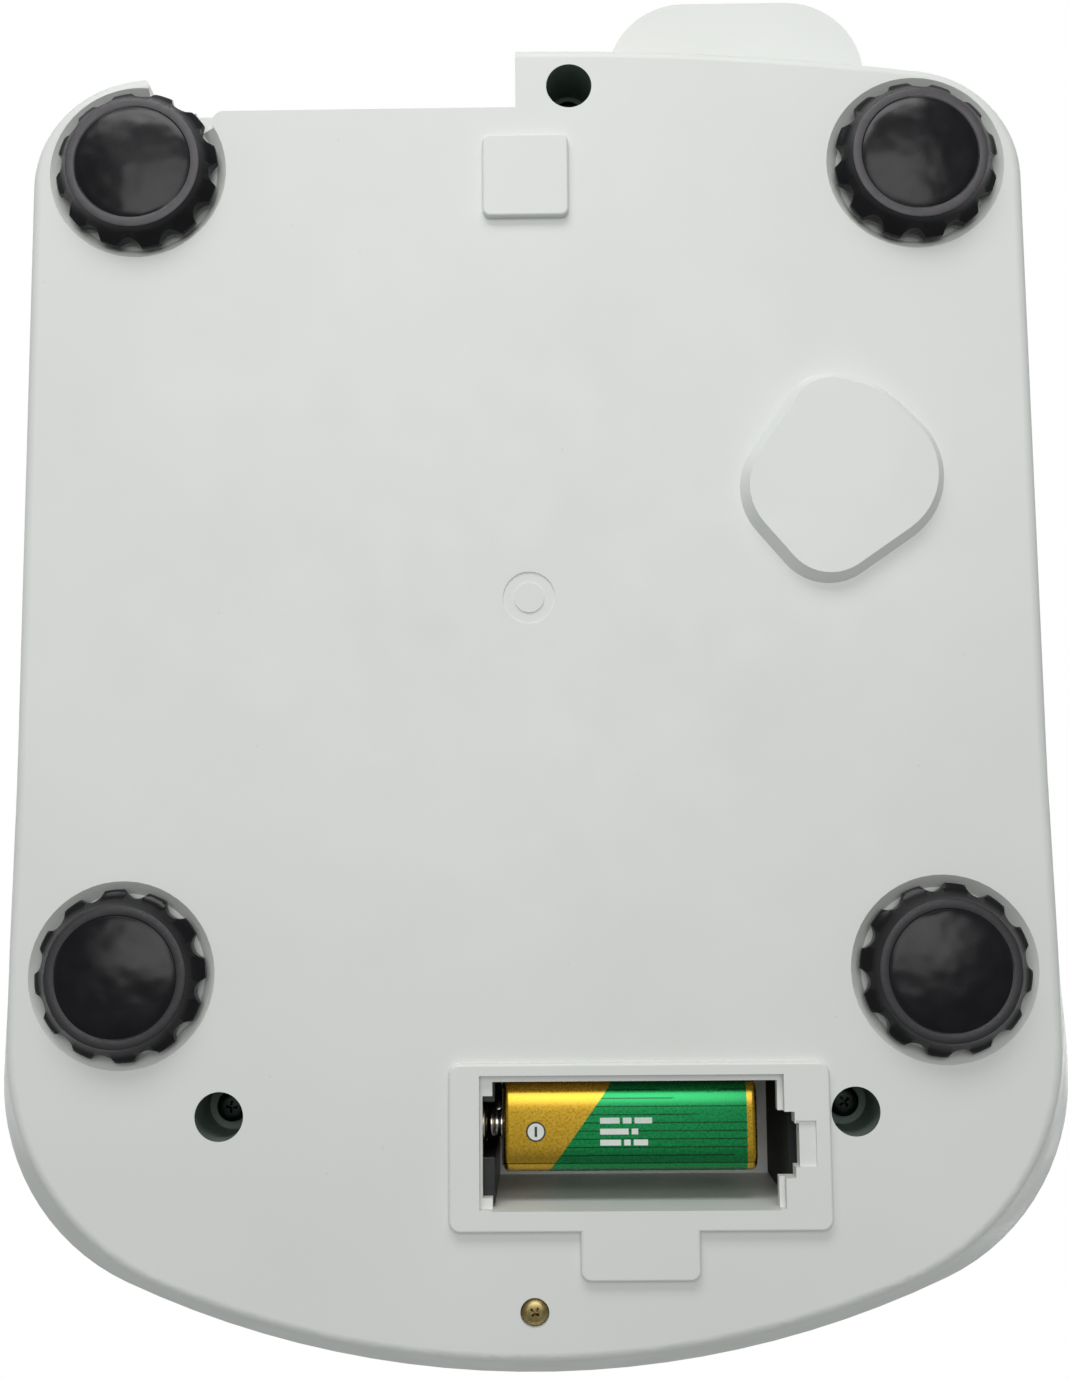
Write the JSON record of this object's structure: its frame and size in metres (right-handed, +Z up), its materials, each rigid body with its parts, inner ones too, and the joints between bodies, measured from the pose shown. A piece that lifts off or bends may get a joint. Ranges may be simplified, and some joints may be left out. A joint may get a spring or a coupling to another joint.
{
  "type": "digital bench scale",
  "caption": "Compact digital scale with a steel pan, sloping display panel with keys, and levelling feet; battery bay open underneath.",
  "frame": {"origin": "on the floor under the middle of the whole scale, which stands on its four feet", "axes": "+Z up, +Y to the rear, -Y towards the user and the display panel, +X to the user's right"},
  "size_m": [0.206, 0.274, 0.0605],
  "materials": {
    "white_abs": "fine satin moulded ABS, faintly green white",
    "knob_plastic": "glossy black moulded nylon",
    "zinc_steel": "zinc-plated steel",
    "brass": "turned brass",
    "yellow_zinc": "yellow-passivated screw",
    "battery_jacket": "metallised printed jacket, gold and green",
    "black_plastic": "black moulded plastic",
    "contact_metal": "nickel-plated contact metal",
    "lead_black": "black wire insulation",
    "lead_grey": "grey cable jacket",
    "pan_steel": "brushed stainless steel sheet",
    "foam": "black foam strip",
    "pad_rubber": "soft rubber",
    "cast_aluminium": "die-cast aluminium",
    "cell_aluminium": "machined aluminium alloy",
    "gauge_silicone": "white silicone potting",
    "circuit_board": "green solder mask",
    "chip_plastic": "black epoxy",
    "lcd_glass": "grey-green display glass",
    "window_clear": "clear acrylic",
    "key_plastic": "grey-blue key cap",
    "switch_metal": "small steel can",
    "vial_clear": "clear acrylic vial",
    "level_liquid": "yellow-green spirit",
    "bubble_air": "air bubble"
  },
  "bodies": {
    "housing": {"bay_foam": "foam", "base_shell": "white_abs", "top_shell": "white_abs", "foot_inserts": "brass", "battery_contact_block": "black_plastic", "battery_contacts": "contact_metal", "battery_leads": "lead_black", "load_cell": "cell_aluminium", "load_cell_lower_spacer": "zinc_steel", "load_cell_base_screws": "zinc_steel", "strain_gauge_cover": "gauge_silicone", "load_cell_lead": "lead_grey", "overload_stops": "zinc_steel", "main_board": "circuit_board", "board_components": "chip_plastic", "board_screws": "zinc_steel", "lcd_glass": "lcd_glass", "lcd_frame": "black_plastic", "display_window": "window_clear", "key_switches": "switch_metal", "power_jack": "black_plastic", "level_vial": "vial_clear", "level_liquid": "level_liquid", "level_bubble": "bubble_air", "front_screw": "yellow_zinc", "housing_screws": "zinc_steel"},
    "platform": {"platform_carrier": "cast_aluminium", "pan_pads": "pad_rubber", "load_cell_upper_spacer": "zinc_steel", "load_cell_carrier_screws": "zinc_steel"},
    "pan": {"weighing_pan": "pan_steel"},
    "battery": {"battery_jacket": "battery_jacket", "battery_top_plate": "black_plastic", "battery_terminals": "contact_metal"},
    "key_1": {"key_1": "key_plastic"},
    "key_2": {"key_2": "key_plastic"},
    "key_3": {"key_3": "key_plastic"},
    "key_4": {"key_4": "key_plastic"},
    "front_left_stud": {"foot_stud_front_left": "zinc_steel"},
    "front_left_knob": {"foot_knob_front_left": "knob_plastic"},
    "front_right_stud": {"foot_stud_front_right": "zinc_steel"},
    "front_right_knob": {"foot_knob_front_right": "knob_plastic"},
    "rear_left_stud": {"foot_stud_rear_left": "zinc_steel"},
    "rear_left_knob": {"foot_knob_rear_left": "knob_plastic"},
    "rear_right_stud": {"foot_stud_rear_right": "zinc_steel"},
    "rear_right_knob": {"foot_knob_rear_right": "knob_plastic"}
  },
  "joints": [
    {"name": "platform_deflect", "type": "slide", "parent": "housing", "child": "platform", "axis": [0, 0, 1], "range_m": [-0.0008, 0], "stiffness_N_per_m": 90000, "deforming": ["load_cell"]},
    {"name": "pan_lift", "type": "slide", "parent": "platform", "child": "pan", "axis": [0, 0, 1], "range_m": [0, 0.04]},
    {"name": "battery_pull", "type": "slide", "parent": "housing", "child": "battery", "axis": [0, 0, -1], "range_m": [0, 0.034]},
    {"name": "key_1_press", "type": "slide", "parent": "housing", "child": "key_1", "axis": [0, 0.3584, -0.9336], "range_m": [0, 0.0005], "stiffness_N_per_m": 3000},
    {"name": "key_2_press", "type": "slide", "parent": "housing", "child": "key_2", "axis": [0, 0.3584, -0.9336], "range_m": [0, 0.0005], "stiffness_N_per_m": 3000},
    {"name": "key_3_press", "type": "slide", "parent": "housing", "child": "key_3", "axis": [0, 0.3584, -0.9336], "range_m": [0, 0.0005], "stiffness_N_per_m": 3000},
    {"name": "key_4_press", "type": "slide", "parent": "housing", "child": "key_4", "axis": [0, 0.3584, -0.9336], "range_m": [0, 0.0005], "stiffness_N_per_m": 3000},
    {"name": "front_left_foot_lift", "type": "slide", "parent": "housing", "child": "front_left_stud", "axis": [0, 0, -1], "range_m": [0, 0.006]},
    {"name": "front_left_foot_turn", "type": "hinge", "parent": "front_left_stud", "child": "front_left_knob", "pos_m": [-0.075, -0.0608, 0.004], "axis": [0, 0, -1], "range_deg": [0, 2165]},
    {"name": "front_right_foot_lift", "type": "slide", "parent": "housing", "child": "front_right_stud", "axis": [0, 0, -1], "range_m": [0, 0.006]},
    {"name": "front_right_foot_turn", "type": "hinge", "parent": "front_right_stud", "child": "front_right_knob", "pos_m": [0.075, -0.0608, 0.004], "axis": [0, 0, -1], "range_deg": [0, 2165]},
    {"name": "rear_left_foot_lift", "type": "slide", "parent": "housing", "child": "rear_left_stud", "axis": [0, 0, -1], "range_m": [0, 0.006]},
    {"name": "rear_left_foot_turn", "type": "hinge", "parent": "rear_left_stud", "child": "rear_left_knob", "pos_m": [-0.075, 0.0924, 0.004], "axis": [0, 0, -1], "range_deg": [0, 2165]},
    {"name": "rear_right_foot_lift", "type": "slide", "parent": "housing", "child": "rear_right_stud", "axis": [0, 0, -1], "range_m": [0, 0.006]},
    {"name": "rear_right_foot_turn", "type": "hinge", "parent": "rear_right_stud", "child": "rear_right_knob", "pos_m": [0.075, 0.0924, 0.004], "axis": [0, 0, -1], "range_deg": [0, 2165]}
  ],
  "couplings": [
    {"joint": "front_left_foot_turn", "follows": "front_left_foot_lift", "rad_per_m": 6283.2},
    {"joint": "front_right_foot_turn", "follows": "front_right_foot_lift", "rad_per_m": 6283.2},
    {"joint": "rear_left_foot_turn", "follows": "rear_left_foot_lift", "rad_per_m": 6283.2},
    {"joint": "rear_right_foot_turn", "follows": "rear_right_foot_lift", "rad_per_m": 6283.2}
  ]
}
